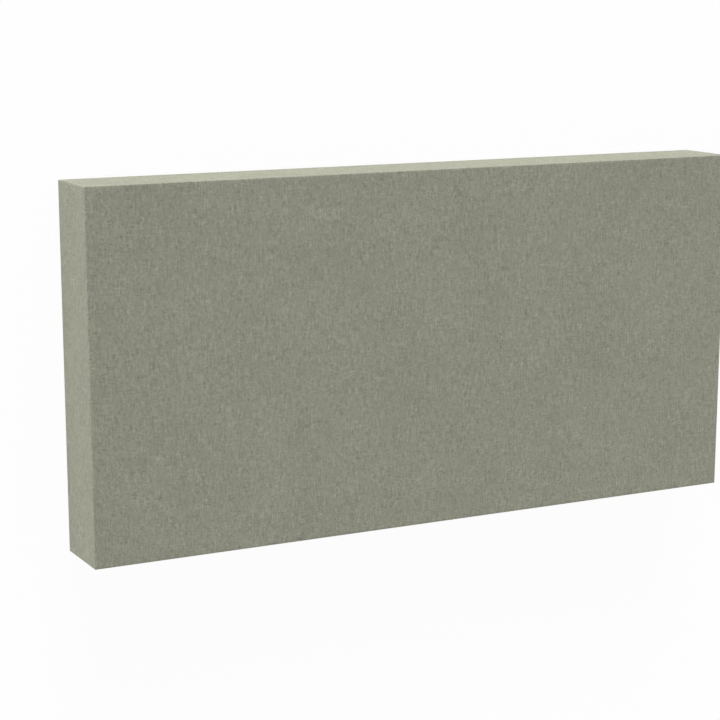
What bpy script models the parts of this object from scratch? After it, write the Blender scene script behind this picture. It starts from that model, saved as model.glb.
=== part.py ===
"""Fabric-covered acoustic wall panel.

A rebated timber frame holds two layers of mineral wool. A non-woven cloth closes its back,
and one piece of woven cloth is stretched over the front and sides and turned on to the back.

The panel lies on its back. +X runs along its long side, +Y points to its upper edge as it
hangs and +Z is its front. The origin is the middle of the back, on the plane it lies on.
Lengths are in metres.
"""

from math import hypot, pi, radians

import bmesh
import bpy
from mathutils import Matrix, Vector

# Whole panel, measured over the cloth
PANEL_LENGTH = 1.000
PANEL_HEIGHT = 0.500
PANEL_DEPTH = 0.100

# Woven cloth of the cover, and its turned-over returns on the back
COVER_THICKNESS = 0.0008
RETURN_WIDTH = 0.030
MITRE_GAP = 0.0010
MITRE_END = 0.0040

# Non-woven cloth that closes the back, under the returns
BACK_CLOTH_THICKNESS = 0.0004
BACK_CLOTH_SETBACK = 0.005
BACK_CLOTH_CLIP = 0.012

# Timber frame: rebated corners, and a brace housed in the two long rails
RAIL_THICKNESS = 0.018
REBATE_DEPTH = 0.009
RAIL_ARRIS = 0.0005
BRACE_THICKNESS = 0.018
HOUSING_DEPTH = 0.005

# Mineral wool: one slab at the front, and one each side of the brace behind it
FRONT_SLAB_THICKNESS = 0.050
SLAB_ARRIS = 0.0010

# Gap kept between pieces that touch, and how far a cutter runs past what it cuts
CLEARANCE = 0.0003
CUTTER_OVERRUN = 0.010

# Facets across a rounded edge
COVER_SEGMENTS = 4
ARRIS_SEGMENTS = 2
SMOOTH_ANGLE = radians(30)

# Frame: fills the cover, with the back cloth between its back and the returns
CLOTH_SPACE = COVER_THICKNESS + CLEARANCE
COVER_RADIUS = RAIL_ARRIS + CLOTH_SPACE
FRAME_LENGTH = PANEL_LENGTH - 2 * CLOTH_SPACE
FRAME_HEIGHT = PANEL_HEIGHT - 2 * CLOTH_SPACE
FRAME_BACK = CLOTH_SPACE + BACK_CLOTH_THICKNESS + CLEARANCE
FRAME_FRONT = PANEL_DEPTH - CLOTH_SPACE
RAIL_DEPTH = FRAME_FRONT - FRAME_BACK
RAIL_MIDDLE = (FRAME_FRONT + FRAME_BACK) / 2

# End rails: seated in the long rails' rebates
END_RAIL_LENGTH = FRAME_HEIGHT - 2 * (RAIL_THICKNESS - REBATE_DEPTH + CLEARANCE)

# Space inside the frame
BAY_LENGTH = FRAME_LENGTH - 2 * RAIL_THICKNESS
BAY_HEIGHT = FRAME_HEIGHT - 2 * RAIL_THICKNESS

# Wool slabs: the front one flush with the rails, the back ones in what is left behind it
FRONT_SLAB_BACK = FRAME_FRONT - FRONT_SLAB_THICKNESS
BACK_SLAB_DEPTH = FRONT_SLAB_BACK - CLEARANCE - FRAME_BACK
BACK_SLAB_START = BRACE_THICKNESS / 2 + CLEARANCE
BACK_SLAB_LENGTH = BAY_LENGTH / 2 - CLEARANCE - BACK_SLAB_START
SLAB_HEIGHT = BAY_HEIGHT - 2 * CLEARANCE

# Brace: as deep as the back layer of wool, so that it never marks the front
BRACE_LENGTH = BAY_HEIGHT + 2 * (HOUSING_DEPTH - CLEARANCE)
BRACE_DEPTH = BACK_SLAB_DEPTH


def clear_scene():
    """Removes every object that is already in the file."""
    for scene_object in list(bpy.data.objects):
        bpy.data.objects.remove(scene_object, do_unlink=True)


def new_collection(name):
    """Returns an empty collection linked to the scene."""
    collection = bpy.data.collections.new(name)
    bpy.context.scene.collection.children.link(collection)
    return collection


def new_material(name, colour, roughness, metallic=0.0):
    """Returns a Principled material of one colour."""
    material = bpy.data.materials.new(name)
    material.use_nodes = True
    shader = material.node_tree.nodes["Principled BSDF"]
    shader.inputs["Base Color"].default_value = (*colour, 1.0)
    shader.inputs["Roughness"].default_value = roughness
    shader.inputs["Metallic"].default_value = metallic
    return material


def new_piece(name, mesh, material, parent, location=(0, 0, 0), turn=0.0):
    """Places a mesh as one named piece of the panel, turned about its upright axis."""
    piece = bpy.data.objects.new(name, mesh)
    if not mesh.materials:
        mesh.materials.append(material)
    piece.location = location
    piece.rotation_euler.z = turn
    piece.parent = parent
    bpy.data.collections["acoustic_panel"].objects.link(piece)
    return piece


def new_cutter(name, mesh, location=(0, 0, 0)):
    """Places a mesh that only cuts pieces and is never part of the panel."""
    cutter = bpy.data.objects.new(name, mesh)
    cutter.location = location
    cutter.hide_render = True
    cutter.display_type = "WIRE"
    bpy.data.collections["cutters"].objects.link(cutter)
    return cutter


def cut(piece, cutter):
    """Takes a cutter's shape out of a piece."""
    modifier = piece.modifiers.new("cut_" + cutter.name, "BOOLEAN")
    modifier.operation = "DIFFERENCE"
    modifier.solver = "EXACT"
    modifier.object = cutter


def finish_mesh(name, shape):
    """Turns a bmesh into a smooth-shaded mesh with its true edges kept sharp."""
    mesh = bpy.data.meshes.new(name)
    shape.to_mesh(mesh)
    shape.free()
    mesh.shade_smooth()
    mesh.set_sharp_from_angle(angle=SMOOTH_ANGLE)
    return mesh


def block(size):
    """Returns a bmesh of a square-edged block, centred on the origin."""
    shape = bmesh.new()
    bmesh.ops.create_cube(shape, size=1.0, matrix=Matrix.Diagonal((*size, 1.0)))
    return shape


def round_edges(shape, edges, radius, segments):
    """Rounds the given edges of a bmesh."""
    bmesh.ops.bevel(
        shape, geom=edges, offset=radius, segments=segments,
        profile=0.5, affect="EDGES", material=-1,
    )


def rail_mesh(name, length, rounded_ends):
    """A rail along X whose outer face is at +Y, with the arrises under the cloth rounded."""
    shape = block((length, RAIL_THICKNESS, RAIL_DEPTH))
    outer_face = max(shape.faces, key=lambda face: face.calc_center_median().y)
    arrises = [
        edge for edge in outer_face.edges
        if rounded_ends or abs(edge.verts[0].co.x - edge.verts[1].co.x) > length / 2
    ]
    round_edges(shape, arrises, RAIL_ARRIS, ARRIS_SEGMENTS)
    return finish_mesh(name, shape)


def make_frame(timber, parent):
    """Four rails with rebated corners, and the brace housed across their middle."""
    long_rail = rail_mesh("long_rail", FRAME_LENGTH, rounded_ends=True)
    end_rail = rail_mesh("end_rail", END_RAIL_LENGTH, rounded_ends=False)
    long_rail_y = (FRAME_HEIGHT - RAIL_THICKNESS) / 2
    end_rail_x = (FRAME_LENGTH - RAIL_THICKNESS) / 2

    upper = new_piece("frame_rail_upper", long_rail, timber, parent, (0, long_rail_y, RAIL_MIDDLE))
    lower = new_piece("frame_rail_lower", long_rail, timber, parent, (0, -long_rail_y, RAIL_MIDDLE), pi)
    new_piece("frame_rail_left", end_rail, timber, parent, (-end_rail_x, 0, RAIL_MIDDLE), pi / 2)
    new_piece("frame_rail_right", end_rail, timber, parent, (end_rail_x, 0, RAIL_MIDDLE), -pi / 2)

    brace_shape = block((BRACE_THICKNESS, BRACE_LENGTH, BRACE_DEPTH))
    brace_z = FRAME_BACK + BRACE_DEPTH / 2
    new_piece("frame_brace", finish_mesh("brace", brace_shape), timber, parent, (0, 0, brace_z))

    for cutter in [*rebate_cutters(), housing_cutter()]:
        cut(upper, cutter)
        cut(lower, cutter)


def rebate_cutters():
    """The end rails' shapes with their clearance, run out past the frame's ends."""
    width = RAIL_THICKNESS + CLEARANCE + CUTTER_OVERRUN
    height = END_RAIL_LENGTH + 2 * CLEARANCE
    depth = RAIL_DEPTH + 2 * CUTTER_OVERRUN
    mesh = finish_mesh("rebate_cutter", block((width, height, depth)))
    x = FRAME_LENGTH / 2 + CUTTER_OVERRUN - width / 2
    return [
        new_cutter("rebate_cutter_left", mesh, (-x, 0, RAIL_MIDDLE)),
        new_cutter("rebate_cutter_right", mesh, (x, 0, RAIL_MIDDLE)),
    ]


def housing_cutter():
    """The brace's shape with its clearance, run out through the back of the frame."""
    size = (
        BRACE_THICKNESS + 2 * CLEARANCE,
        BRACE_LENGTH + 2 * CLEARANCE,
        BRACE_DEPTH + CLEARANCE + CUTTER_OVERRUN,
    )
    top = FRAME_BACK + BRACE_DEPTH + CLEARANCE
    return new_cutter("housing_cutter", finish_mesh("housing_cutter", block(size)), (0, 0, top - size[2] / 2))


def slab_mesh(name, size):
    """A sawn slab of mineral wool with slightly soft edges."""
    shape = block(size)
    round_edges(shape, shape.edges[:], SLAB_ARRIS, ARRIS_SEGMENTS)
    return finish_mesh(name, shape)


def make_wool(wool, parent):
    """The full front slab, and the two behind it that fit between the brace and the end rails."""
    front = slab_mesh("front_slab", (BAY_LENGTH - 2 * CLEARANCE, SLAB_HEIGHT, FRONT_SLAB_THICKNESS))
    front_z = FRONT_SLAB_BACK + FRONT_SLAB_THICKNESS / 2
    new_piece("wool_slab_front", front, wool, parent, (0, 0, front_z))

    back = slab_mesh("back_slab", (BACK_SLAB_LENGTH, SLAB_HEIGHT, BACK_SLAB_DEPTH))
    x = BACK_SLAB_START + BACK_SLAB_LENGTH / 2
    z = FRAME_BACK + BACK_SLAB_DEPTH / 2
    new_piece("wool_slab_back_left", back, wool, parent, (-x, 0, z))
    new_piece("wool_slab_back_right", back, wool, parent, (x, 0, z))


def make_back_cloth(non_woven, parent):
    """A flat sheet set in from the frame's edges, its corners clipped clear of the mitres."""
    length = FRAME_LENGTH - 2 * BACK_CLOTH_SETBACK
    height = FRAME_HEIGHT - 2 * BACK_CLOTH_SETBACK
    shape = bmesh.new()
    bmesh.ops.create_grid(shape, size=0.5, matrix=Matrix.Diagonal((length, height, 1.0, 1.0)))
    bmesh.ops.bevel(
        shape, geom=shape.verts[:], offset=BACK_CLOTH_CLIP, segments=1,
        profile=0.5, affect="VERTICES", material=-1,
    )
    mesh = finish_mesh("back_cloth", shape)
    sheet = new_piece("back_cloth", mesh, non_woven, parent, (0, 0, CLOTH_SPACE))
    solidify = sheet.modifiers.new("thickness", "SOLIDIFY")
    solidify.thickness = BACK_CLOTH_THICKNESS
    solidify.offset = 1.0


def make_cover(cloth, parent):
    """One cloth over the front and the four sides, turned on to the back and mitred there."""
    shape = block((PANEL_LENGTH, PANEL_HEIGHT, PANEL_DEPTH))
    round_edges(shape, shape.edges[:], COVER_RADIUS, COVER_SEGMENTS)
    back = min(shape.faces, key=lambda face: face.calc_center_median().z)
    bmesh.ops.inset_region(
        shape, faces=[back], thickness=RETURN_WIDTH - COVER_RADIUS, use_even_offset=True,
    )
    bmesh.ops.delete(shape, geom=[back], context="FACES")

    cover = new_piece("fabric_cover", finish_mesh("cover", shape), cloth, parent, (0, 0, PANEL_DEPTH / 2))
    solidify = cover.modifiers.new("thickness", "SOLIDIFY")
    solidify.thickness = COVER_THICKNESS
    solidify.offset = -1.0
    solidify.use_even_offset = True
    cut(cover, mitre_cutter())


def mitre_cutter():
    """Four thin blades on the returns' diagonals, from the inner corners almost to the outer."""
    shape = bmesh.new()
    reach = RETURN_WIDTH + MITRE_GAP - MITRE_END
    size = (hypot(reach, reach), MITRE_GAP, COVER_THICKNESS + 2 * CLEARANCE)
    inset = MITRE_END + reach / 2
    for x_side in (-1, 1):
        for y_side in (-1, 1):
            middle = Vector((x_side * (PANEL_LENGTH / 2 - inset), y_side * (PANEL_HEIGHT / 2 - inset), 0))
            turn = Matrix.Rotation(x_side * y_side * pi / 4, 4, "Z")
            placed = Matrix.Translation(middle) @ turn @ Matrix.Diagonal((*size, 1.0))
            bmesh.ops.create_cube(shape, size=1.0, matrix=placed)
    return new_cutter("mitre_cutter", finish_mesh("mitre_cutter", shape), (0, 0, COVER_THICKNESS / 2))


def main():
    """Builds the whole panel under one empty at its origin."""
    clear_scene()
    panel_collection = new_collection("acoustic_panel")
    new_collection("cutters")
    origin = bpy.data.objects.new("panel_origin", None)
    panel_collection.objects.link(origin)

    cloth = new_material("grey_green_cloth", (0.300, 0.304, 0.241), roughness=0.95)
    non_woven = new_material("black_non_woven", (0.018, 0.018, 0.019), roughness=0.90)
    timber = new_material("pale_softwood", (0.560, 0.390, 0.220), roughness=0.65)
    wool = new_material("mineral_wool", (0.330, 0.300, 0.140), roughness=1.00)

    make_frame(timber, origin)
    make_wool(wool, origin)
    make_back_cloth(non_woven, origin)
    make_cover(cloth, origin)


main()
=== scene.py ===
"""Looks of a fabric-covered acoustic wall panel, lying on its back.

The woven cover, the non-woven back cloth, the staples and the mineral wool are modelled here
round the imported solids. The softwood frame keeps its own solids and gets its grain. Lengths
are in metres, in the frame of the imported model: +X along the panel's long side, +Y towards
its upper edge as it hangs, +Z out of its front.
"""

import math
import random
from typing import NamedTuple

import bmesh
import bpy
from mathutils import Matrix, Vector, noise


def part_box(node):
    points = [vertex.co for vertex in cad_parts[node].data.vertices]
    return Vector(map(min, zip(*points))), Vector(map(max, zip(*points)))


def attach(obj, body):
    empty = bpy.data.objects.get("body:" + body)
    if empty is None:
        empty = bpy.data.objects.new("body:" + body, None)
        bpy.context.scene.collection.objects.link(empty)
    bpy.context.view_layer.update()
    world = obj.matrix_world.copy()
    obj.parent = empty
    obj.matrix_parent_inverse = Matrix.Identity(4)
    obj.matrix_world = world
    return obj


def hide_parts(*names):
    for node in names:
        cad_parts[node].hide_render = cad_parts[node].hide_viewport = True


bl_info = {
    "name": "Fabric Acoustic Panel",
    "version": (1, 0, 0),
    "blender": (4, 5, 0),
    "location": "3D View > Sidebar > Acoustic Panel",
    "description": "Dresses an acoustic panel's solids with cloth, wool, timber grain and staples",
    "category": "Add Mesh",
}

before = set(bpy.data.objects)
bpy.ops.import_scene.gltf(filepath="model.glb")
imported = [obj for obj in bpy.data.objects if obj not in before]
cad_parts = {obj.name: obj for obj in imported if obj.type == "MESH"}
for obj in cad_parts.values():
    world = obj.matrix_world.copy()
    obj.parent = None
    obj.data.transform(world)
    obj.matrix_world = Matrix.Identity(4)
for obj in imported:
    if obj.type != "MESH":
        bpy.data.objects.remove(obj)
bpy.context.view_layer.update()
COVER_LOW, COVER_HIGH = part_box("fabric_cover")
RAIL_LOW, RAIL_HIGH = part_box("frame_rail_upper")
END_RAIL_LOW, END_RAIL_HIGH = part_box("frame_rail_right")
BACK_CLOTH_LOW, BACK_CLOTH_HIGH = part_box("back_cloth")
WOOL_SLABS = ["wool_slab_front", "wool_slab_back_left", "wool_slab_back_right"]
ROOT = "root"
FLAT_CLOTH = "flat_cloth"
MM = 0.001
TOUCHING = 1e-6
CREASE = math.radians(40)
WHITE = (1.0, 1.0, 1.0, 1.0)


class CoverSettings(bpy.types.PropertyGroup):
    """The woven cloth, its turned-over returns and the seams at the panel's corners."""

    colour: bpy.props.FloatVectorProperty(
        name="Cloth colour", description="Mean colour of the heathered yarn",
        subtype="COLOR", size=3, min=0.0, max=1.0, default=(0.292, 0.296, 0.234),
    )
    thickness: bpy.props.FloatProperty(
        name="Cloth thickness", description="Thickness of the woven cloth",
        default=0.8 * MM, unit="LENGTH",
    )
    edge_radius: bpy.props.FloatProperty(
        name="Edge radius", description="Outer radius of the cloth round the frame's arrises",
        default=0.9 * MM, unit="LENGTH",
    )
    return_width: bpy.props.FloatProperty(
        name="Return width", description="Width of cloth turned on to the back",
        default=30 * MM, unit="LENGTH",
    )
    mitre_end: bpy.props.FloatProperty(
        name="Mitre end", description="Distance from a back corner to the end of its mitre",
        default=4 * MM, unit="LENGTH",
    )
    mitre_gap: bpy.props.FloatProperty(
        name="Mitre gap", description="Gap between the folded edges of a mitre",
        default=0.8 * MM, unit="LENGTH",
    )
    seam_depth: bpy.props.FloatProperty(
        name="Seam depth", description="How far the seam at each upright corner is drawn in",
        default=0.25 * MM, unit="LENGTH",
    )
    slack: bpy.props.FloatProperty(
        name="Slack", description="Mean depth of the faint waves in the stretched faces",
        default=0.05 * MM, unit="LENGTH",
    )
    raw_edge_pull: bpy.props.FloatProperty(
        name="Raw edge pull", description="How far the returns' raw edge wanders from its line",
        default=0.9 * MM, unit="LENGTH",
    )
    yarn_pitch: bpy.props.FloatProperty(
        name="Yarn pitch", description="Distance from one yarn to the next",
        default=1.15 * MM, unit="LENGTH",
    )
    yarn_share: bpy.props.FloatProperty(
        name="Yarn share", description="Width of a yarn, as a share of the pitch",
        min=0.5, max=1.0, default=0.86,
    )
    mesh_pitch: bpy.props.FloatProperty(
        name="Mesh pitch", description="Size of the mesh's squares on the front",
        default=10 * MM, unit="LENGTH",
    )
    return_mesh_pitch: bpy.props.FloatProperty(
        name="Return mesh pitch", description="Size of the mesh's squares across the returns",
        default=4.4 * MM, unit="LENGTH",
    )


class StapleSettings(bpy.types.PropertyGroup):
    """The wire staples through the cover's returns."""

    spacing: bpy.props.FloatProperty(
        name="Spacing", description="Distance from one staple to the next along a rail",
        default=42 * MM, unit="LENGTH",
    )
    from_corner: bpy.props.FloatProperty(
        name="From corner", description="Distance from a corner to the first staple",
        default=30 * MM, unit="LENGTH",
    )
    along_scatter: bpy.props.FloatProperty(
        name="Scatter along", description="How far a staple may stray along its row",
        default=2.5 * MM, unit="LENGTH",
    )
    across_scatter: bpy.props.FloatProperty(
        name="Scatter across", description="How far a staple may stray off its row",
        default=1.2 * MM, unit="LENGTH",
    )
    turn_scatter: bpy.props.FloatProperty(
        name="Scatter turn", description="How far a staple may turn from its row",
        default=math.radians(9), subtype="ANGLE",
    )
    crown: bpy.props.FloatProperty(
        name="Crown", description="Length of a staple's crown",
        default=10 * MM, unit="LENGTH",
    )
    leg: bpy.props.FloatProperty(
        name="Leg", description="Length of a staple's legs, with their points",
        default=8 * MM, unit="LENGTH",
    )
    point: bpy.props.FloatProperty(
        name="Point", description="Length of a leg's point", default=1.5 * MM, unit="LENGTH",
    )
    wire_width: bpy.props.FloatProperty(
        name="Wire width", description="Width of the flattened wire",
        default=0.95 * MM, unit="LENGTH",
    )
    wire_thickness: bpy.props.FloatProperty(
        name="Wire thickness", description="Thickness of the flattened wire",
        default=0.5 * MM, unit="LENGTH",
    )
    wire_radius: bpy.props.FloatProperty(
        name="Wire radius", description="Radius of the wire's own edges",
        default=0.12 * MM, unit="LENGTH",
    )
    dimple: bpy.props.FloatProperty(
        name="Dimple", description="How deep a crown presses the cloth in",
        default=0.28 * MM, unit="LENGTH",
    )
    dimple_reach: bpy.props.FloatProperty(
        name="Dimple reach", description="Distance from a crown at which the cloth is flat again",
        default=4 * MM, unit="LENGTH",
    )
    colour: bpy.props.FloatVectorProperty(
        name="Wire colour", description="Colour of the galvanised wire",
        subtype="COLOR", size=3, min=0.0, max=1.0, default=(0.62, 0.62, 0.60),
    )


class FillingSettings(bpy.types.PropertyGroup):
    """The mineral wool, the softwood and the cloth that closes the back."""

    wool_colour: bpy.props.FloatVectorProperty(
        name="Wool colour", description="Colour of the mineral wool",
        subtype="COLOR", size=3, min=0.0, max=1.0, default=(0.33, 0.30, 0.14),
    )
    slab_radius: bpy.props.FloatProperty(
        name="Slab radius", description="Radius of a wool slab's soft edges",
        default=2 * MM, unit="LENGTH",
    )
    tuft_depth: bpy.props.FloatProperty(
        name="Tuft depth", description="Depth of the hollows between the wool's tufts",
        default=0.35 * MM, unit="LENGTH",
    )
    timber_colour: bpy.props.FloatVectorProperty(
        name="Timber colour", description="Colour of the softwood between its growth rings",
        subtype="COLOR", size=3, min=0.0, max=1.0, default=(0.62, 0.45, 0.27),
    )
    ring_spacing: bpy.props.FloatProperty(
        name="Ring spacing", description="Width of the softwood's growth rings",
        default=2.8 * MM, unit="LENGTH",
    )
    non_woven_colour: bpy.props.FloatVectorProperty(
        name="Back cloth colour", description="Colour of the non-woven back cloth",
        subtype="COLOR", size=3, min=0.0, max=1.0, default=(0.018, 0.018, 0.019),
    )
    corner_clip: bpy.props.FloatProperty(
        name="Corner clip", description="Length cut off each side at the back cloth's corners",
        default=12 * MM, unit="LENGTH",
    )
    ripple: bpy.props.FloatProperty(
        name="Ripple", description="Depth of the back cloth's ripples between the rails",
        default=0.35 * MM, unit="LENGTH",
    )


class StudioSettings(bpy.types.PropertyGroup):
    """The lamps, the floor and the camera."""

    ambient: bpy.props.FloatProperty(
        name="Ambient", description="Strength of the even light from all round", default=0.516,
    )
    upper_lamp: bpy.props.FloatProperty(
        name="Upper lamp", description="Strength of the lamp beyond the upper edge", default=3.27,
    )
    left_lamp: bpy.props.FloatProperty(
        name="Left lamp", description="Strength of the lamp beyond the left end", default=1.36,
    )
    lamp_height: bpy.props.FloatProperty(
        name="Lamp height", description="Angle of both lamps above the floor",
        default=math.radians(13.7), subtype="ANGLE",
    )
    lamp_size: bpy.props.FloatProperty(
        name="Lamp size", description="Angle that each lamp fills, seen from the panel",
        default=math.radians(30), subtype="ANGLE",
    )
    floor_gap: bpy.props.FloatProperty(
        name="Floor gap", description="Distance from the floor up to the panel",
        default=0.2 * MM, unit="LENGTH",
    )
    floor_reach: bpy.props.FloatProperty(
        name="Floor reach", description="Distance from the panel's middle to the floor's sides",
        default=30.0, unit="LENGTH",
    )
    floor_colour: bpy.props.FloatVectorProperty(
        name="Floor colour", description="Colour of the floor under its share of plain white",
        subtype="COLOR", size=3, min=0.0, max=1.0, default=(0.92, 0.92, 0.92),
    )
    floor_white: bpy.props.FloatProperty(
        name="Floor white", description="Share of plain white in the floor as the camera sees it",
        min=0.0, max=1.0, default=0.95,
    )
    camera_turn: bpy.props.FloatProperty(
        name="Camera turn", description="Angle of the view to the left of the front's normal",
        default=math.radians(27.574), subtype="ANGLE",
    )
    camera_tilt: bpy.props.FloatProperty(
        name="Camera tilt", description="Angle of the view above the front's normal",
        default=math.radians(12.163), subtype="ANGLE",
    )
    camera_place: bpy.props.FloatVectorProperty(
        name="Camera place", description="Camera from the panel's middle",
        size=3, subtype="TRANSLATION", default=(-1.34395, 0.51140, 2.44025),
    )
    camera_roll: bpy.props.FloatProperty(
        name="Camera roll", description="Turn of the camera about its own line of sight",
        default=math.radians(0.065), subtype="ANGLE",
    )
    lens: bpy.props.FloatProperty(
        name="Lens", description="Focal length, in millimetres", default=100.1,
    )
    shift: bpy.props.FloatVectorProperty(
        name="Shift", description="Lens shift, as a share of the image's width",
        size=2, default=(-0.01363, 0.06283),
    )


class Board(NamedTuple):
    """How a board lay in its log.

    Turn is the angle from the X axis to the board, and pith the shift that then brings the
    log's pith on to that axis. A knot has its place along the board, its angle round the pith
    and its radius. Seed sets the wander of the rings.
    """

    turn: float
    pith: tuple
    knots: tuple
    seed: float


BOARDS = {
    "frame_rail_upper": Board(
        turn=0.0, pith=(0.0, -0.212, -0.046),
        knots=((-0.31, 0.5, 5 * MM), (0.18, -0.6, 4 * MM)), seed=1.3,
    ),
    "frame_rail_lower": Board(
        turn=0.0, pith=(0.0, 0.270, -0.060),
        knots=((-0.12, -0.4, 6 * MM), (0.35, 0.8, 4 * MM)), seed=4.7,
    ),
    "frame_rail_left": Board(
        turn=math.pi / 2, pith=(0.0, 0.519, -0.052), knots=((0.08, 0.6, 5 * MM),), seed=8.2,
    ),
    "frame_rail_right": Board(
        turn=math.pi / 2, pith=(0.0, -0.463, -0.043), knots=((-0.16, -0.7, 5 * MM),), seed=12.6,
    ),
    "frame_brace": Board(
        turn=math.pi / 2, pith=(0.0, 0.030, -0.028), knots=((-0.05, 0.3, 4 * MM),), seed=15.1,
    ),
}


class Yarns(NamedTuple):
    """How light and dark run along the warp's or the weft's yarns.

    Fleck and stretch are the lengths of a short and of a long light or dark part. Strength is
    that of the long ones, and seed sets where they all lie.
    """

    fleck: float
    stretch: float
    strength: float
    seed: float


WARP = Yarns(fleck=10 * MM, stretch=26 * MM, strength=1.25, seed=3.1)
WEFT = Yarns(fleck=5.8 * MM, stretch=18 * MM, strength=0.65, seed=8.7)
STRAND_TURNS = (0.2, 1.0, 1.8, 2.6)


class Wire:
    """A value that varies over a surface. Arithmetic on it adds Math nodes to its tree."""

    def __init__(self, nodes, socket):
        self.nodes = nodes
        self.socket = socket

    def __add__(self, other):
        return self.nodes.math("ADD", self, other)

    def __sub__(self, other):
        return self.nodes.math("SUBTRACT", self, other)

    def __rsub__(self, other):
        return self.nodes.math("SUBTRACT", other, self)

    def __mul__(self, other):
        return self.nodes.math("MULTIPLY", self, other)

    def __truediv__(self, other):
        return self.nodes.math("DIVIDE", self, other)

    def __rtruediv__(self, other):
        return self.nodes.math("DIVIDE", other, self)

    def __pow__(self, other):
        return self.nodes.math("POWER", self, other)

    def __gt__(self, other):
        return self.nodes.math("GREATER_THAN", self, other)

    def __lt__(self, other):
        return self.nodes.math("LESS_THAN", self, other)

    __radd__ = __add__
    __rmul__ = __mul__


class Nodes:
    """The node tree of a material or of the world, and the short ways to add to it."""

    def __init__(self, tree):
        self.tree = tree

    def node(self, kind, settings=None, inputs=None, output=0):
        """Adds a node: its settings first, then its sockets' values or links."""
        made = self.tree.nodes.new(kind)
        for key, value in (settings or {}).items():
            setattr(made, key, value)
        for key, value in (inputs or {}).items():
            self.feed(made.inputs[key], value)
        return Wire(self, made.outputs[output])

    def feed(self, socket, value):
        """Links a wire to a socket, or sets the socket's own value."""
        if isinstance(value, Wire):
            self.tree.links.new(value.socket, socket)
        else:
            socket.default_value = value

    def math(self, operation, *values):
        """One Math node on values or wires."""
        return self.node("ShaderNodeMath", {"operation": operation}, dict(enumerate(values)))

    def clamp(self, value):
        """A value kept between 0 and 1."""
        return self.node("ShaderNodeClamp", None, {"Value": value})

    def pick(self, mask, inside, outside):
        """One value where the mask is 1 and another where it is 0."""
        return mask * inside + (1.0 - mask) * outside

    def mix(self, share, first, second):
        """A colour between two colours."""
        return self.node(
            "ShaderNodeMix", {"data_type": "RGBA"},
            {0: share, 6: first, 7: second}, output=2,
        )

    def combine(self, x, y, z=0.0):
        """A vector from three numbers."""
        return self.node("ShaderNodeCombineXYZ", None, {0: x, 1: y, 2: z})

    def split(self, vector):
        """The three numbers of a vector."""
        made = self.tree.nodes.new("ShaderNodeSeparateXYZ")
        self.feed(made.inputs[0], vector)
        return [Wire(self, output) for output in made.outputs]

    def noise(self, place, sizes, seed, detail=0.0, roughness=0.5):
        """Smooth noise round zero, whose blotches have the given sizes along x, y and z."""
        scaled = self.node(
            "ShaderNodeVectorMath", {"operation": "MULTIPLY_ADD"},
            {0: place, 1: [1.0 / size for size in sizes], 2: (seed, seed, seed)},
        )
        value = self.node(
            "ShaderNodeTexNoise", {"noise_dimensions": "3D"},
            {"Vector": scaled, "Scale": 1.0, "Detail": detail, "Roughness": roughness},
        )
        return value - 0.5

    def seen_directly(self):
        """1 for what the camera, a mirror or glass shows, and 0 for the light on things."""
        path = self.tree.nodes.new("ShaderNodeLightPath")
        names = ("Is Camera Ray", "Is Glossy Ray", "Is Transmission Ray")
        camera, glossy, transmission = (Wire(self, path.outputs[name]) for name in names)
        return self.math("MINIMUM", camera + glossy + transmission, 1.0)


class Finish(Nodes):
    """A new material with a Principled shader."""

    def __init__(self, name):
        self.material = bpy.data.materials.new(name)
        self.material.use_nodes = True
        super().__init__(self.material.node_tree)
        self.shader = self.tree.nodes["Principled BSDF"]

    def place(self):
        """A point's place on the object."""
        return self.node("ShaderNodeTexCoord", output=3)

    def bump(self, height, distance, strength):
        """Feeds a relief of the given depth to the surface's normal."""
        relief = self.node(
            "ShaderNodeBump", None,
            {"Height": height, "Distance": distance, "Strength": strength},
        )
        self.set(Normal=relief)

    def set(self, **sockets):
        """Sets or links the shader's sockets, with _ for each space in a socket's name."""
        for name, value in sockets.items():
            self.feed(self.shader.inputs[name.replace("_", " ")], value)


def shade(colour, amount):
    """A colour times an amount, with its alpha."""
    return (*(min(1.0, channel * amount) for channel in colour), 1.0)


def yarn_section(finish, count, share):
    """Round section of a yarn: highest over its middle, 0 at its sides, far below in the gaps."""
    crown = 1.3
    gap_depth = 3.0
    off_middle = (finish.math("FRACT", count) * 2.0 - 1.0) / share
    inside = 1.0 - off_middle * off_middle
    arch = finish.math("SQRT", finish.math("MAXIMUM", inside, 0.0))
    return arch * crown - (inside < 0.0) * gap_depth


def plain_weave(finish, warp, weft, share):
    """Height of yarns that pass over and under each other, and 1 where the warp is on top.

    Warp and weft count yarns: a whole number is the middle of the gap between two of them.
    """
    gap_floor = -0.8
    warp_swing = finish.math("SINE", warp * math.pi)
    weft_swing = finish.math("SINE", weft * math.pi)
    warp_height = yarn_section(finish, warp, share) + finish.math("SIGN", warp_swing) * weft_swing
    weft_height = yarn_section(finish, weft, share) - finish.math("SIGN", weft_swing) * warp_swing
    height = finish.math("MAXIMUM", warp_height, weft_height)
    return finish.math("MAXIMUM", height, gap_floor), warp_height > weft_height


def yarn_tones(finish, side, run, line, yarns):
    """Heather and slubs of each yarn, and the fibres twisted round it.

    Side and run lie across and along the yarns. Line is the same over the whole of a yarn.
    """
    width = 2 * MM
    slub = yarns.fleck * 0.75
    fibre_size = (0.19 * MM, 2.4 * MM, 1.0)
    twist = 0.37
    yarn = finish.combine(line, run)
    flecks = finish.noise(yarn, (width, yarns.fleck, 1.0), yarns.seed, detail=1.0)
    stretches = finish.noise(yarn, (width, yarns.stretch, 1.0), yarns.seed + 11.8)
    slubs = finish.noise(yarn, (width, slub, 1.0), yarns.seed + 24.2)
    twisted = finish.combine(side + run * twist, run)
    fibres = finish.noise(twisted, fibre_size, yarns.seed + 3.0)
    return flecks, stretches * yarns.strength, slubs, fibres


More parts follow.
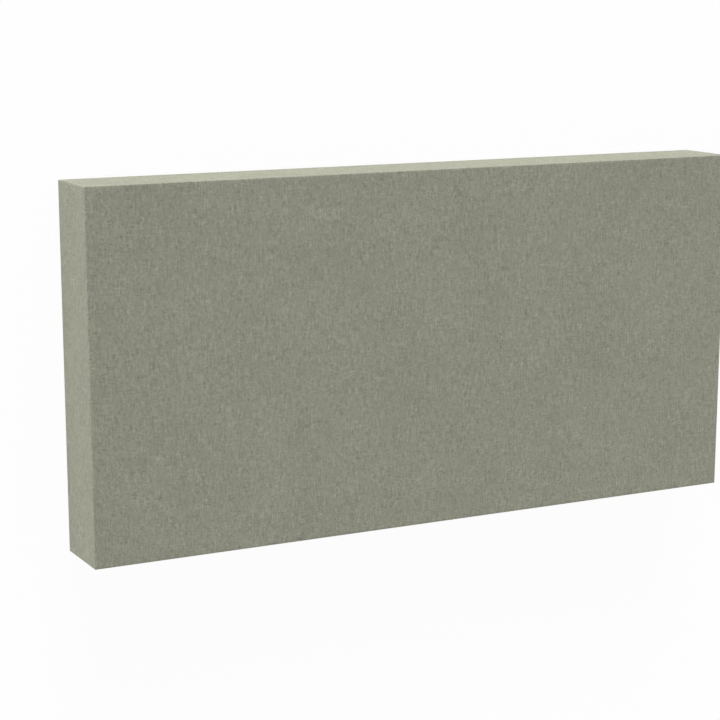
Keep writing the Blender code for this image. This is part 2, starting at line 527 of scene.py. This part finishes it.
def woven_cloth(settings):
    """Plain weave of heathered yarns, each with light and dark stretches of its own, and painted
    shade between them.
    """
    finish = Finish("heathered_weave")
    flat = finish.node("ShaderNodeUVMap", {"uv_map": FLAT_CLOTH})
    across, along, _ = finish.split(flat)
    pitch = settings.yarn_pitch
    drift = 1.1
    raggedness = 0.2
    warp = across / pitch + finish.noise(flat, (20 * MM, 62 * MM, 1.0), seed=2.2) * drift
    weft = along / pitch + finish.noise(flat, (62 * MM, 20 * MM, 1.0), seed=7.4) * drift
    fuzz = finish.noise(flat, (0.9 * MM, 0.9 * MM, 1.0), seed=4.0, detail=1.0)
    ragged = fuzz * raggedness
    relief, warp_on_top = plain_weave(finish, warp + ragged, weft - ragged, settings.yarn_share)

    warp_line = finish.math("FLOOR", warp) * pitch
    weft_line = finish.math("FLOOR", weft) * pitch
    warp_tones = yarn_tones(finish, across, along, warp_line, WARP)
    weft_tones = yarn_tones(finish, along, across, weft_line, WEFT)
    fleck, stretch, slub, fibre = (
        finish.pick(warp_on_top, *pair) for pair in zip(warp_tones, weft_tones)
    )
    lively = finish.noise(flat, (18 * MM, 24 * MM, 1.0), seed=11.2, detail=1.0) * 3.0 + 1.0
    bloom = finish.noise(flat, (8 * MM, 21 * MM, 1.0), seed=6.4, detail=2.0)
    band = finish.noise(flat, (105 * MM, 150 * MM, 1.0), seed=1.9, detail=1.0)
    heather = (fleck * 1.50 + stretch * 0.85) * lively + bloom * 0.28 + band * 0.27
    dark_fleck = fleck < -0.17
    dark_slub = slub < -0.20
    light_slub = slub > 0.21
    dark = dark_fleck * 0.20 + dark_slub
    # relief * 0.08 is painted shade: darker in the gaps between yarns and down their sides, lighter
    # on their crowns.
    lightness = heather + light_slub * 0.50 - dark + fibre * 0.9 + fuzz * 0.3 + relief * 0.08
    contrast = 0.66
    middle = 0.342
    tone = finish.clamp(lightness * contrast + middle)
    dark_yarn, light_yarn = shade(settings.colour, 0.71), shade(settings.colour, 1.44)

    finish.set(
        Base_Color=finish.mix(tone, dark_yarn, light_yarn),
        Roughness=0.95, Specular_IOR_Level=0.2,
        Sheen_Weight=0.13, Sheen_Roughness=0.5, Sheen_Tint=shade(settings.colour, 2.5),
    )
    finish.bump(relief + fibre, distance=0.18 * MM, strength=0.6)
    return finish.material


def softwood(settings, board):
    """Planed pine: rings that darken to their late wood, bend round knots and drift with taper."""
    finish = Finish("softwood_grain")
    taper = 0.012
    meander = 14 * MM
    knot_bend = 3.0
    late_sharpness = 3.0
    place = finish.node(
        "ShaderNodeMapping", None,
        {"Vector": finish.place(), "Location": board.pith, "Rotation": (0.0, 0.0, board.turn)},
    )
    x, y, z = finish.split(place)
    wander = finish.noise(place, (400 * MM, 110 * MM, 110 * MM), board.seed, detail=2.0)
    depth = finish.math("SQRT", y * y + z * z) + x * taper + wander * meander
    knots = 0.0
    for start, turn, radius in board.knots:
        off = z * math.cos(turn) - y * math.sin(turn)
        run = x - start
        reach = (off * off + run * run) / radius ** 2
        depth = depth + knot_bend * radius / (1.0 + reach)
        knots = finish.math("MAXIMUM", knots, reach < 1.0)
    late = finish.math("FRACT", depth / settings.ring_spacing) ** late_sharpness
    fibre = finish.noise(place, (40 * MM, 1.1 * MM, 1.1 * MM), board.seed, detail=3.0)
    tone = finish.clamp(late * 0.65 + fibre * 0.6 + wander * 0.4 + 0.1)
    pale, dark = shade(settings.timber_colour, 1.0), shade(settings.timber_colour, 0.58)
    knot_brown = shade(settings.timber_colour, 0.28)
    finish.set(
        Base_Color=finish.mix(knots * 0.75, finish.mix(tone, pale, dark), knot_brown),
        Roughness=0.62 + fibre * 0.2,
    )
    finish.bump(late * 0.4 + fibre, distance=0.12 * MM, strength=0.5)
    return finish.material


def mineral_wool(settings):
    """Pressed fibres that cross every way within the slab's faint layers, with small dark beads."""
    finish = Finish("mineral_wool_fibre")
    place = finish.place()
    x, y, z = finish.split(place)
    strand_size = (13 * MM, 0.6 * MM, 0.8 * MM)
    swing = 7 * MM
    layers = finish.noise(place, (45 * MM, 45 * MM, 2.4 * MM), seed=1.7, detail=3.0, roughness=0.6)
    tufts = finish.noise(place, (6 * MM, 6 * MM, 3 * MM), seed=9.1, detail=3.0, roughness=0.6)
    beads = finish.noise(place, (1.4 * MM, 1.4 * MM, 1.4 * MM), seed=3.3) > 0.27
    sway = finish.noise(place, (11 * MM, 11 * MM, 6 * MM), seed=5.2, detail=1.0) * swing
    strands = 0.0
    for turn in STRAND_TURNS:
        run = x * math.cos(turn) + y * math.sin(turn)
        side = y * math.cos(turn) - x * math.sin(turn) + sway
        strand = finish.noise(finish.combine(run, side, z), strand_size, seed=turn * 10.0)
        strands = finish.math("MAXIMUM", strands, strand)
    tone = finish.clamp(0.22 + strands * 1.7 + layers * 0.6 + tufts * 0.7 - beads * 0.35)
    dark, pale = shade(settings.wool_colour, 0.55), shade(settings.wool_colour, 1.45)
    finish.set(Base_Color=finish.mix(tone, dark, pale), Roughness=1.0, Sheen_Weight=0.2)
    finish.bump(strands * 1.5 + tufts + layers * 0.5, distance=0.9 * MM, strength=0.8)
    return finish.material


def non_woven(settings):
    """Spunbond cloth: random fibres pressed together in a lattice of small oval points."""
    finish = Finish("spunbond_cloth")
    place = finish.place()
    x, y, _ = finish.split(place)
    point_pitch = 2.4 * MM
    lattice = math.tau / point_pitch
    points = finish.math("SINE", (x + y) * lattice) * finish.math("SINE", (x - y) * lattice)
    pressed = points > 0.55
    fibre = finish.noise(place, (1.1 * MM, 3.8 * MM, 1.0), seed=2.0, detail=3.0, roughness=0.7)
    tone = finish.clamp(0.5 + fibre * 1.3 - pressed * 0.3)
    dark, pale = shade(settings.non_woven_colour, 0.55), shade(settings.non_woven_colour, 2.2)
    finish.set(Base_Color=finish.mix(tone, dark, pale), Roughness=0.82 - pressed * 0.25)
    finish.bump(fibre - pressed * 0.6, distance=0.10 * MM, strength=0.6)
    return finish.material


def staple_wire(settings):
    """Galvanised wire with bright and dull patches."""
    finish = Finish("galvanised_wire")
    patch = finish.noise(finish.place(), (2 * MM, 2 * MM, 2 * MM), seed=0.0, detail=2.0)
    dull, bright = shade(settings.colour, 0.65), shade(settings.colour, 1.05)
    colour = finish.mix(0.5 + patch, dull, bright)
    finish.set(Base_Color=colour, Metallic=1.0, Roughness=0.38 + patch * 0.3)
    return finish.material


def new_piece(name, shape, material):
    """Makes an object of a bmesh, at the origin, riding on the panel."""
    mesh = bpy.data.meshes.new(name)
    shape.to_mesh(mesh)
    shape.free()
    mesh.shade_smooth()
    mesh.set_sharp_from_angle(angle=CREASE)
    mesh.materials.append(material)
    piece = bpy.data.objects.new(name, mesh)
    bpy.context.scene.collection.objects.link(piece)
    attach(piece, ROOT)
    return piece


def give_thickness(piece, thickness, offset):
    """Thickens a sheet, outwards from its mesh at an offset of 1 and inwards at -1."""
    solidify = piece.modifiers.new("cloth_thickness", "SOLIDIFY")
    solidify.thickness = thickness
    solidify.offset = offset
    solidify.use_even_offset = True


def box_between(low, high):
    """The matrix that turns a unit cube into the box between two corners."""
    return Matrix.Translation((low + high) / 2) @ Matrix.Diagonal((*(high - low), 1.0))


def round_edges(shape, radius, segments):
    """Rounds every sharp edge of a closed bmesh."""
    bmesh.ops.bevel(
        shape, geom=[edge for edge in shape.edges if edge.calc_face_angle() > CREASE],
        offset=radius, segments=segments, profile=0.5, affect="EDGES", material=-1,
    )


def everything(shape):
    """All of a bmesh's parts."""
    return shape.verts[:] + shape.edges[:] + shape.faces[:]


def steps(start, end, pitch):
    """Places from start to end, evenly spaced at about the pitch, both ends left out."""
    count = max(1, round((end - start) / pitch))
    return [start + (end - start) * k / count for k in range(1, count)]


def slice_across(shape, axis, places):
    """Cuts the whole shape by planes square to one axis."""
    normal = Vector([float(k == axis) for k in range(3)])
    for place in places:
        bmesh.ops.bisect_plane(
            shape, geom=everything(shape), dist=TOUCHING / 10,
            plane_co=normal * place, plane_no=normal,
        )


def unit(x, y):
    """The flat direction that points to the given sides of zero."""
    return Vector((math.copysign(1.0, x), math.copysign(1.0, y), 0.0)).normalized()


def from_rims(point):
    """A point's distances from the cover's nearer end and from its nearer long side."""
    return COVER_HIGH.x - abs(point.x), COVER_HIGH.y - abs(point.y)


def on_back(point):
    """True on the plane that the panel lies on."""
    return point.z < COVER_LOW.z + TOUCHING


def on_mitre(point, start):
    """True on the returns' diagonals, from a distance off the rim inwards."""
    from_end, from_side = from_rims(point)
    return on_back(point) and abs(from_end - from_side) < TOUCHING and from_end > start


def wrapped_shell(settings):
    """The cover's outer surface: a box with rounded edges, open at the back inside its returns."""
    shape = bmesh.new()
    bmesh.ops.create_cube(shape, size=1.0, matrix=box_between(COVER_LOW, COVER_HIGH))
    round_edges(shape, settings.edge_radius, segments=4)
    back = min(shape.faces, key=lambda face: face.calc_center_median().z)
    bmesh.ops.inset_region(
        shape, faces=[back], thickness=settings.return_width - settings.edge_radius,
        use_even_offset=True,
    )
    bmesh.ops.delete(shape, geom=[back], context="FACES")

    width, mitre = settings.return_width, settings.mitre_end
    insets = [mitre, *steps(mitre, width, settings.return_mesh_pitch), width]
    for axis in (0, 1):
        edge = COVER_HIGH[axis]
        ring = [edge - inset for inset in insets]
        middle = steps(width - edge, edge - width, settings.mesh_pitch)
        slice_across(shape, axis, [*ring, *(-place for place in ring), *middle])
    low, high = COVER_LOW.z + settings.edge_radius, COVER_HIGH.z - settings.edge_radius
    slice_across(shape, 2, steps(low, high, settings.mesh_pitch))
    return shape


def unroll_cover(shape):
    """Writes where each face lay on the cloth before it was wrapped to a UV map, in metres."""
    layer = shape.loops.layers.uv.new(FLAT_CLOTH)
    middle = (COVER_LOW.z + COVER_HIGH.z) / 2
    for face in shape.faces:
        from_end, from_side = from_rims(face.calc_center_median())
        axis = 0 if from_end < from_side else 1
        for loop in face.loops:
            point = loop.vert.co
            out = abs(point[axis])
            if point.z < middle:
                out = 2 * COVER_HIGH[axis] - out
            place = list(point.xy)
            place[axis] = math.copysign(COVER_HIGH.z - point.z + out, point[axis])
            loop[layer].uv = place


def ease_faces(shape, settings):
    """Lets the flat faces wave by some hundredths of a millimetre, as stretched cloth does."""
    firm_rim = 15 * MM
    long_wave = 90 * MM
    short_wave = 37 * MM
    for vert in shape.verts:
        for axis, side in ((0, -1), (0, 1), (1, -1), (1, 1), (2, 1)):
            plane = (COVER_HIGH if side > 0 else COVER_LOW)[axis]
            if abs(vert.co[axis] - plane) > TOUCHING:
                continue
            margin = min(
                min(vert.co[k] - COVER_LOW[k], COVER_HIGH[k] - vert.co[k])
                for k in range(3) if k != axis
            )
            ease = min(1.0, max(0.0, margin - settings.edge_radius) / firm_rim)
            wave = noise.noise(vert.co / long_wave) + 0.6 * noise.noise(vert.co / short_wave)
            vert.co[axis] -= side * ease * settings.slack * (1.0 + wave)
            break


def sew_corners(shape, settings):
    """Draws in the seam at the four corners where two flaps of the cloth are sewn together."""
    radius = settings.edge_radius
    clear = 3 * radius
    seam_reach = 0.1 * radius
    for vert in shape.verts:
        from_end, from_side = from_rims(vert.co)
        between_edges = COVER_LOW.z + clear < vert.co.z < COVER_HIGH.z - clear
        if between_edges and from_end < radius and abs(from_end - from_side) < seam_reach:
            vert.co -= unit(vert.co.x, vert.co.y) * settings.seam_depth


def open_mitres(shape, settings):
    """Parts the returns along their diagonals, from the inner corners almost to the outer."""
    start = settings.mitre_end - TOUCHING
    diagonal = [
        edge for edge in shape.edges if all(on_mitre(vert.co, start) for vert in edge.verts)
    ]
    bmesh.ops.split_edges(shape, edges=diagonal)
    for vert in shape.verts:
        if on_mitre(vert.co, settings.mitre_end + TOUCHING):
            middles = [face.calc_center_median() for face in vert.link_faces]
            from_end, from_side = from_rims(sum(middles, Vector()) / len(middles))
            across = unit(vert.co.x, -vert.co.y) * settings.mitre_gap / 2
            vert.co += across if from_end < from_side else -across


def staple_places(settings):
    """Centre and direction of each staple, over the middle of the rails behind the returns."""
    draw = random.Random(7)
    line_y = (RAIL_LOW.y + RAIL_HIGH.y) / 2
    line_x = (END_RAIL_LOW.x + END_RAIL_HIGH.x) / 2
    places = []
    for turn, line, half in ((0.0, line_y, COVER_HIGH.x), (math.pi / 2, line_x, COVER_HIGH.y)):
        reach = half - settings.from_corner
        count = round(2 * reach / settings.spacing)
        for side in (-1, 1):
            for k in range(count + 1):
                run = -reach + 2 * reach * k / count + draw.uniform(-1, 1) * settings.along_scatter
                off = line * side + draw.uniform(-1, 1) * settings.across_scatter
                centre = Vector((off, run, 0.0)) if turn else Vector((run, off, 0.0))
                places.append((centre, turn + draw.uniform(-1, 1) * settings.turn_scatter))
    return places


def crown_distance(point, centre, turn, crown):
    """Distance in the back's plane from a point to a staple's crown."""
    along = Vector((math.cos(turn), math.sin(turn)))
    offset = point.xy - centre.xy
    run = max(-crown / 2, min(crown / 2, offset.dot(along)))
    return (offset - along * run).length


def dimple_returns(shape, staples):
    """Refines the returns round each staple, and presses the cloth in under its crown."""
    cuts = 3
    flat_bottom = 1.6
    places = staple_places(staples)
    near = staples.crown / 2 + staples.dimple_reach
    edges = set()
    for face in shape.faces:
        middle = face.calc_center_median()
        if on_back(middle) and any((middle.xy - centre.xy).length < near for centre, _ in places):
            edges.update(face.edges)
    bmesh.ops.subdivide_edges(shape, edges=list(edges), cuts=cuts, use_grid_fill=True)
    uneven = [face for face in shape.faces if len(face.verts) > 4]
    bmesh.ops.triangulate(shape, faces=uneven, quad_method="BEAUTY", ngon_method="BEAUTY")
    for vert in shape.verts:
        if not on_back(vert.co):
            continue
        for centre, turn in places:
            if (vert.co.xy - centre.xy).length < near:
                distance = crown_distance(vert.co, centre, turn, staples.crown)
                fall = max(0.0, 1.0 - distance / staples.dimple_reach)
                press = min(1.0, flat_bottom * fall * fall * (3 - 2 * fall))
                vert.co.z += staples.dimple * press


def draw_raw_edge(shape, settings):
    """Lets the returns' raw edge wander in and out of its line."""
    firm = 0.45
    wave_length = 42 * MM
    for vert in shape.verts:
        from_end, from_side = from_rims(vert.co)
        share = min(from_end, from_side) / settings.return_width
        if vert.co.z > COVER_LOW.z + settings.edge_radius or share < firm:
            continue
        axis = 0 if from_end < from_side else 1
        seed = math.copysign(3.0, vert.co.x + vert.co.y) + axis
        wave = noise.noise(Vector((vert.co[1 - axis] / wave_length, seed, 0.0)))
        pull = settings.raw_edge_pull * wave * ((share - firm) / (1.0 - firm)) ** 2
        vert.co[axis] += math.copysign(pull, vert.co[axis])


class ACOUSTIC_OT_fabric_cover(bpy.types.Operator):
    """Wrap the woven cloth over the front and sides and turn it on to the back"""

    bl_idname = "acoustic.fabric_cover"
    bl_label = "Fabric Cover"

    def execute(self, context):
        settings = context.scene.acoustic_cover
        shape = wrapped_shell(settings)
        unroll_cover(shape)
        ease_faces(shape, settings)
        sew_corners(shape, settings)
        open_mitres(shape, settings)
        dimple_returns(shape, context.scene.acoustic_staples)
        draw_raw_edge(shape, settings)

        cover = new_piece("woven_cover", shape, woven_cloth(settings))
        give_thickness(cover, settings.thickness, offset=-1.0)
        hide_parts("fabric_cover")

        return {"FINISHED"}


class ACOUSTIC_OT_back_cloth(bpy.types.Operator):
    """Lay the non-woven cloth over the back of the frame"""

    bl_idname = "acoustic.back_cloth"
    bl_label = "Back Cloth"

    def execute(self, context):
        settings = context.scene.acoustic_filling
        size = BACK_CLOTH_HIGH - BACK_CLOTH_LOW
        pitch = context.scene.acoustic_cover.mesh_pitch
        place = Matrix.Translation((0, 0, BACK_CLOTH_LOW.z)) @ Matrix.Diagonal((*size.xy, 1, 1))
        shape = bmesh.new()
        bmesh.ops.create_grid(
            shape, x_segments=round(size.x / pitch), y_segments=round(size.y / pitch), size=0.5,
            matrix=place,
        )
        for x_side, y_side in ((-1, -1), (-1, 1), (1, -1), (1, 1)):
            outward = unit(x_side, y_side)
            corner = Vector((x_side * size.x / 2, y_side * size.y / 2, 0.0))
            bmesh.ops.bisect_plane(
                shape, geom=everything(shape), dist=TOUCHING / 10, clear_outer=True,
                plane_co=corner - outward * settings.corner_clip / math.sqrt(2), plane_no=outward,
            )
        self.ripple(shape, settings)
        sheet = new_piece("non_woven_back", shape, non_woven(settings))
        give_thickness(sheet, size.z, offset=1.0)
        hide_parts("back_cloth")
        return {"FINISHED"}

    def ripple(self, shape, settings):
        """Lets the cloth sag in waves and creases between the rails, and lie flat on them."""
        firm_rim = 40 * MM
        for vert in shape.verts:
            margin = min(END_RAIL_LOW.x - abs(vert.co.x), RAIL_LOW.y - abs(vert.co.y))
            ease = min(1.0, max(0.0, margin) / firm_rim)
            wave = self.swell(vert.co, width=110, height=70, seed=2.0)
            crease = self.swell(vert.co, width=25, height=55, seed=7.0)
            vert.co.z -= ease * settings.ripple * (0.7 + wave + 0.35 * crease)

    def swell(self, point, width, height, seed):
        """Smooth noise round zero at a point of the cloth, with its sizes in millimetres."""
        x, y = point.xy / MM
        return noise.noise(Vector((x / width, y / height, seed)))


class ACOUSTIC_OT_staples(bpy.types.Operator):
    """Drive a row of wire staples through the returns into each rail"""

    bl_idname = "acoustic.staples"
    bl_label = "Staples"

    def execute(self, context):
        settings = context.scene.acoustic_staples
        shape = self.staple(settings)
        pattern = everything(shape)
        for centre, turn in staple_places(settings):
            copied = bmesh.ops.duplicate(shape, geom=pattern)["geom"]
            bmesh.ops.transform(
                shape, verts=[part for part in copied if isinstance(part, bmesh.types.BMVert)],
                matrix=Matrix.Translation(centre) @ Matrix.Rotation(turn, 4, "Z"),
            )
        verts = [part for part in pattern if isinstance(part, bmesh.types.BMVert)]
        bmesh.ops.delete(shape, geom=verts, context="VERTS")
        new_piece("return_staples", shape, staple_wire(settings))
        return {"FINISHED"}

    def staple(self, settings):
        """One staple over the origin: its crown along X, its two pointed legs drawn upwards."""
        tip_share = 0.35
        half = Vector((settings.crown, settings.wire_width, 0.0)) / 2
        thickness = settings.wire_thickness
        shape = bmesh.new()
        bmesh.ops.create_cube(
            shape, size=1.0, matrix=box_between(-half, half + Vector((0, 0, thickness))),
        )
        leg_line = half.x - thickness
        slice_across(shape, 0, (-leg_line, leg_line))
        shape.normal_update()
        feet = [
            face for face in shape.faces
            if face.normal.z > 0.9 and abs(face.calc_center_median().x) > leg_line
        ]
        shaft = settings.leg - settings.point
        for foot in feet:
            for length, taper in ((shaft, 1.0), (settings.point, tip_share)):
                foot = bmesh.ops.extrude_discrete_faces(shape, faces=[foot])["faces"][0]
                centre = foot.calc_center_median()
                bmesh.ops.scale(
                    shape, verts=foot.verts[:], vec=(taper, taper, 1.0),
                    space=Matrix.Translation(-centre),
                )
                bmesh.ops.translate(shape, verts=foot.verts[:], vec=(0.0, 0.0, length))
        round_edges(shape, settings.wire_radius, segments=1)
        return shape


class ACOUSTIC_OT_wool_slabs(bpy.types.Operator):
    """Fill the frame with slabs of mineral wool"""

    bl_idname = "acoustic.wool_slabs"
    bl_label = "Wool Slabs"

    def execute(self, context):
        settings = context.scene.acoustic_filling
        radius = settings.slab_radius
        mesh_pitches = (12 * MM, 12 * MM, 5 * MM)
        tuft_size = 22 * MM
        softness, lacunarity, octaves = 0.9, 2.0, 3
        material = mineral_wool(settings)
        for node in WOOL_SLABS:
            low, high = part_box(node)
            shape = bmesh.new()
            bmesh.ops.create_cube(shape, size=1.0, matrix=box_between(low, high))
            round_edges(shape, radius, segments=3)
            for axis, pitch in enumerate(mesh_pitches):
                slice_across(shape, axis, steps(low[axis] + radius, high[axis] - radius, pitch))
            shape.normal_update()
            for vert in shape.verts:
                place = vert.co / tuft_size
                tuft = noise.fractal(place, softness, lacunarity, octaves) + 1.0
                vert.co -= vert.normal * settings.tuft_depth * max(0.0, tuft)
            slab = new_piece(node + "_wool", shape, material)
            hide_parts(node)
        return {"FINISHED"}


class ACOUSTIC_OT_timber_frame(bpy.types.Operator):
    """Give each board of the frame its own run of softwood grain"""

    bl_idname = "acoustic.timber_frame"
    bl_label = "Timber Frame"

    def execute(self, context):
        for node, board in BOARDS.items():
            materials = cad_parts[node].data.materials
            materials.clear()
            materials.append(softwood(context.scene.acoustic_filling, board))
        return {"FINISHED"}


class ACOUSTIC_OT_studio(bpy.types.Operator):
    """Set the camera, the floor and the lamps"""

    bl_idname = "acoustic.studio"
    bl_label = "Studio"

    def execute(self, context):
        settings = context.scene.acoustic_studio
        context.scene.view_settings.view_transform = "Standard"
        self.add_camera(context, settings)
        self.add_floor(context, settings)
        self.add_lamp(context, settings, "upper_lamp", Vector((0, 1, 0)), settings.upper_lamp)
        self.add_lamp(context, settings, "left_lamp", Vector((-1, 0, 0)), settings.left_lamp)
        self.set_world(context, settings)
        return {"FINISHED"}

    def add_camera(self, context, settings):
        """Looks at the front from its upper left, with the panel's +Y upwards in the picture."""
        turn, tilt = settings.camera_turn, settings.camera_tilt
        forward = Vector((
            math.sin(turn) * math.cos(tilt), -math.sin(tilt), -math.cos(turn) * math.cos(tilt),
        ))
        right = Vector((math.cos(turn), 0.0, math.sin(turn)))
        data = bpy.data.cameras.new("camera")
        data.lens = settings.lens
        data.shift_x, data.shift_y = settings.shift
        data.clip_end = 100.0
        camera = bpy.data.objects.new("camera", data)
        camera.matrix_world = (
            Matrix.Translation((COVER_LOW + COVER_HIGH) / 2 + Vector(settings.camera_place))
            @ Matrix((right, right.cross(forward), -forward)).transposed().to_4x4()
            @ Matrix.Rotation(settings.camera_roll, 4, "Z")
        )
        context.scene.collection.objects.link(camera)
        context.scene.camera = camera

    def add_floor(self, context, settings):
        """A wide white floor, just under the panel, that keeps a soft share of its shadow."""
        place = Matrix.Translation((0, 0, COVER_LOW.z - settings.floor_gap))
        shape = bmesh.new()
        bmesh.ops.create_grid(shape, size=settings.floor_reach, matrix=place)
        mesh = bpy.data.meshes.new("floor")
        shape.to_mesh(mesh)
        shape.free()
        finish = Finish("white_floor")
        finish.tree.nodes.remove(finish.shader)
        colour = shade(settings.floor_colour, 1.0)
        paper = finish.node("ShaderNodeBsdfDiffuse", None, {"Color": colour})
        white = finish.node("ShaderNodeEmission", None, {"Color": WHITE, "Strength": 1.0})
        share = finish.seen_directly() * settings.floor_white
        surface = finish.node("ShaderNodeMixShader", None, {0: share, 1: paper, 2: white})
        finish.feed(finish.tree.nodes["Material Output"].inputs["Surface"], surface)
        mesh.materials.append(finish.material)
        floor = bpy.data.objects.new("floor", mesh)
        context.scene.collection.objects.link(floor)

    def add_lamp(self, context, settings, name, side, strength):
        """A broad lamp beyond one side of the panel, a little above the floor."""
        data = bpy.data.lights.new(name, "SUN")
        data.energy = strength
        data.angle = settings.lamp_size
        lamp = bpy.data.objects.new(name, data)
        height = settings.lamp_height
        towards = side * math.cos(height) + Vector((0, 0, math.sin(height)))
        lamp.rotation_euler = towards.to_track_quat("Z", "Y").to_euler()
        context.scene.collection.objects.link(lamp)

    def set_world(self, context, settings):
        """Even light from all round, seen as plain white."""
        world = bpy.data.worlds.new("studio")
        world.use_nodes = True
        context.scene.world = world
        nodes = Nodes(world.node_tree)
        light, white = (
            nodes.node("ShaderNodeBackground", None, {"Color": WHITE, "Strength": strength})
            for strength in (settings.ambient, 1.0)
        )
        share = nodes.seen_directly()
        surface = nodes.node("ShaderNodeMixShader", None, {0: share, 1: light, 2: white})
        nodes.feed(nodes.tree.nodes["World Output"].inputs["Surface"], surface)


class ACOUSTIC_PT_sidebar(bpy.types.Panel):
    """The panel's pieces and their sizes and colours"""

    bl_idname = "ACOUSTIC_PT_sidebar"
    bl_label = "Acoustic Panel"
    bl_space_type = "VIEW_3D"
    bl_region_type = "UI"
    bl_category = "Acoustic Panel"

    def draw(self, context):
        scene = context.scene
        filling = [ACOUSTIC_OT_back_cloth, ACOUSTIC_OT_wool_slabs, ACOUSTIC_OT_timber_frame]
        groups = (
            (scene.acoustic_cover, [ACOUSTIC_OT_fabric_cover]),
            (scene.acoustic_staples, [ACOUSTIC_OT_staples]),
            (scene.acoustic_filling, filling),
            (scene.acoustic_studio, [ACOUSTIC_OT_studio]),
        )
        for settings, operators in groups:
            box = self.layout.box()
            for operator in operators:
                box.operator(operator.bl_idname)
            for name in settings.__annotations__:
                box.prop(settings, name)


SETTINGS = {
    "acoustic_cover": CoverSettings,
    "acoustic_staples": StapleSettings,
    "acoustic_filling": FillingSettings,
    "acoustic_studio": StudioSettings,
}
OPERATORS = (
    ACOUSTIC_OT_studio,
    ACOUSTIC_OT_fabric_cover,
    ACOUSTIC_OT_back_cloth,
    ACOUSTIC_OT_staples,
    ACOUSTIC_OT_wool_slabs,
    ACOUSTIC_OT_timber_frame,
)


def register():
    """Adds the settings, the operators and the sidebar."""
    for name, group in SETTINGS.items():
        bpy.utils.register_class(group)
        setattr(bpy.types.Scene, name, bpy.props.PointerProperty(type=group))
    for operator in OPERATORS:
        bpy.utils.register_class(operator)
    bpy.utils.register_class(ACOUSTIC_PT_sidebar)


def unregister():
    """Takes away what register added."""
    bpy.utils.unregister_class(ACOUSTIC_PT_sidebar)
    for operator in reversed(OPERATORS):
        bpy.utils.unregister_class(operator)
    for name, group in reversed(SETTINGS.items()):
        delattr(bpy.types.Scene, name)
        bpy.utils.unregister_class(group)


def main():
    register()
    bpy.ops.acoustic.studio()
    bpy.ops.acoustic.fabric_cover()
    bpy.ops.acoustic.back_cloth()
    bpy.ops.acoustic.staples()
    bpy.ops.acoustic.wool_slabs()
    bpy.ops.acoustic.timber_frame()


if __name__ == "__main__":
    main()
